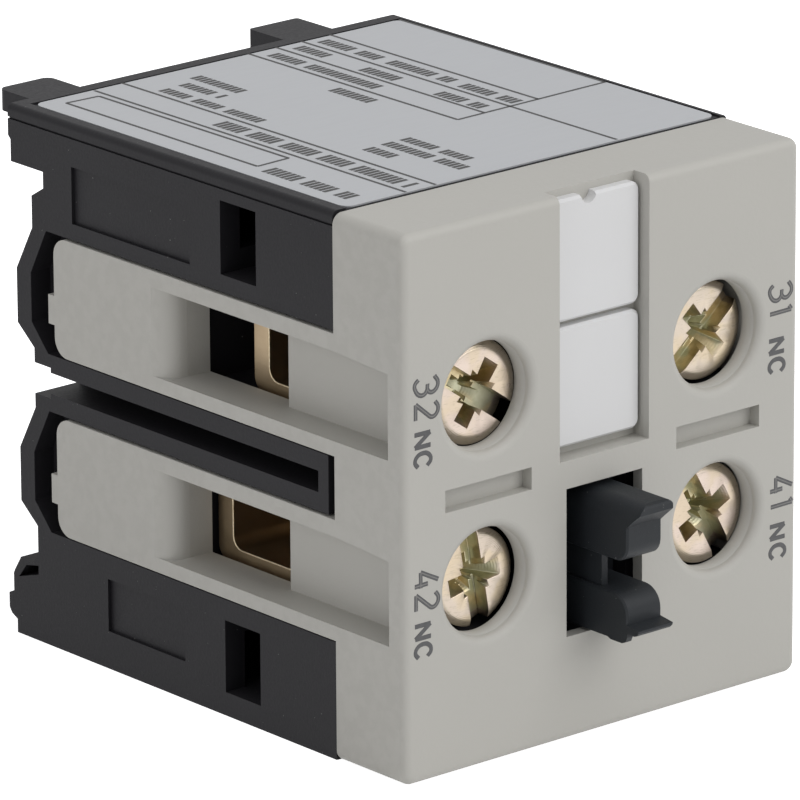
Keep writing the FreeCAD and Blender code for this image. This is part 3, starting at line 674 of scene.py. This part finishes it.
screw_zinc = new_material("screw_zinc", screw_finish)
for name in TERMINALS:
    x, z = terminal_place(name)
    profile = []
    for radius, f in SCREW_PROFILE:
        sunk = HEAD_SUNK[name] if f < SLOT_FLOOR else 0
        profile.append((min(radius, HEAD_RADIUS[name]), f + sunk))
    cutters = recess_cutters(x, z, SLOT_ANGLE[name])
    blank = in_scene("blank", lathe("screw_blank", profile, x, z, SCREW_STEPS))
    screw = in_scene("plated_screw_" + name, shaped(blank, finish_screw), screw_zinc)
    for cutter in cutters:
        bpy.data.objects.remove(cutter)
    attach(screw, "screw_" + name)
    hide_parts("screw_" + name)

# The cages and the fixed contact bars are bent from brass strip. A cage's edges are softened by
# tumbling. A thin cord of very bright brass round the opening in its outer wall is a painted
# highlight.
BRASSES = (0.32, 0.24, 0.15), (0.46, 0.36, 0.24)
HIGHLIGHT_BRASSES = (0.5, 0.38, 0.2), (0.95, 0.85, 0.62)
CAGE_ROUND, CAGE_CORNER = 0.09, 40
CAGE_NUT, CAGE_BACK = 1.6, 1.2
OPENING_HALF, OPENING_CORNER, OPENING_STEPS = 2.0, 0.7, 4
RIM_WIDTH = 0.09


def brass_finish(shade, place):
    stain = shade.noise(place, 500, 4)
    drawn = shade.node("Mapping", None, {"Vector": place, "Scale": (1, 1, 14)})
    draw = shade.noise(drawn, 900, 2)
    return {"Base Color": stain.mix(*BRASSES),
            "Metallic": 1.0, "Roughness": 0.3 + 0.16 * draw, "Normal": draw.bump(0.008, 0.4)}


# Very bright brass for the cord round a cage's opening, which is a painted highlight.
def highlight_finish(shade, place):
    worn = shade.noise(place, 6000, 2)
    return {"Base Color": worn.mix(*HIGHLIGHT_BRASSES),
            "Metallic": 0.6, "Roughness": 0.35 + 0.1 * worn}


def opening_rim(name):
    """The rounded rectangle around the opening in a cage's outer wall, in millimetres."""
    low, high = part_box("cage_" + name)
    x, z = terminal_place(name)
    x = (high.x if x > 0 else low.x) / MM
    front, back = low.y / MM + CAGE_NUT, high.y / MM - CAGE_BACK
    path = []
    for f, level, start in ((back, 1, 90), (back, -1, 0), (front, -1, -90), (front, 1, 180)):
        centre_f = f + math.copysign(OPENING_CORNER, front + back - 2 * f)
        centre_z = z + level * (OPENING_HALF - OPENING_CORNER)
        for step in range(OPENING_STEPS + 1):
            a = math.radians(start - 90 * step / OPENING_STEPS)
            path.append((x, centre_f + OPENING_CORNER * math.cos(a),
                         centre_z + OPENING_CORNER * math.sin(a)))
    return path


brass = new_material("cage_brass", brass_finish)
highlight_brass = new_material("painted_highlight_brass", highlight_finish)
dress(["contact_bar_" + name for name in TERMINALS], brass)
for name in TERMINALS:
    cage = reshaped_node("bent_cage_" + name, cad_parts["cage_" + name],
                         lambda piece: soften(piece, CAGE_ROUND, CAGE_CORNER), brass)
    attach(cage, "cage_" + name)
    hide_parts("cage_" + name)
    # A thin cord of very bright brass along this path is a painted highlight on the rim of the
    # opening.
    path = opening_rim(name)
    rim = bpy.data.curves.new("edge", "CURVE")
    rim.dimensions = "3D"
    rim.bevel_depth = RIM_WIDTH / 2 * MM
    rim.bevel_resolution = 1
    spline = rim.splines.new("POLY")
    spline.points.add(len(path) - 1)
    for knot, point in zip(spline.points, path):
        knot.co = (*(Vector(point) * MM), 1)
    spline.use_cyclic_u = True
    rim_mesh = shaped(in_scene("edge", rim), lambda piece: None)
    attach(in_scene("painted_highlight_edge_" + name, rim_mesh, highlight_brass), "cage_" + name)

# The two bridges are punched from spring bronze, and sit in the slider's windows. Their tips and
# those of the fixed contact bars are silver, a little tarnished all over.
BRONZES = (0.6, 0.34, 0.18), (0.7, 0.42, 0.25)
SILVERS = (0.74, 0.73, 0.7), (0.84, 0.84, 0.82)


def bronze_finish(shade, place):
    stain = shade.noise(place, 600, 3)
    return {"Base Color": stain.mix(*BRONZES),
            "Metallic": 1.0, "Roughness": 0.26 + 0.14 * stain}


def silver_finish(shade, place):
    stain = shade.noise(place, 900, 3)
    return {"Base Color": stain.mix(*SILVERS),
            "Metallic": 1.0, "Roughness": 0.3 + 0.12 * stain}


dress(["bridge_lower", "bridge_upper"], new_material("bridge_bronze", bronze_finish))
contact_silver = new_material("contact_silver", silver_finish)
dress(["fixed_tip_" + name for name in TERMINALS], contact_silver)
dress(["bridge_tips_lower", "bridge_tips_upper"], contact_silver)

# The three springs are coils of bright steel wire. The return spring stands in the base and
# pushes the slider forward, and each contact spring presses its bridge on the fixed tips.
STEELS = (0.5, 0.5, 0.52), (0.62, 0.62, 0.63)
COILS = {"return_spring": ("housing", "slider_push"),
         "contact_spring_lower": ("bridge_lower", "bridge_lower_wipe"),
         "contact_spring_upper": ("bridge_upper", "bridge_upper_wipe")}


def wire_finish(shade, place):
    stain = shade.noise(place, 1200, 2)
    return {"Base Color": stain.mix(*STEELS),
            "Metallic": 1.0, "Roughness": 0.22 + 0.1 * stain}


spring_wire = new_material("spring_wire", wire_finish)
for name, (body, joint) in COILS.items():
    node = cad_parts[name]
    coil = in_scene("wound_" + name, node.data.copy(), spring_wire)
    coil.matrix_world = node.matrix_world
    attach(coil, body)
    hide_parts(name)
    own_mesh(coil)
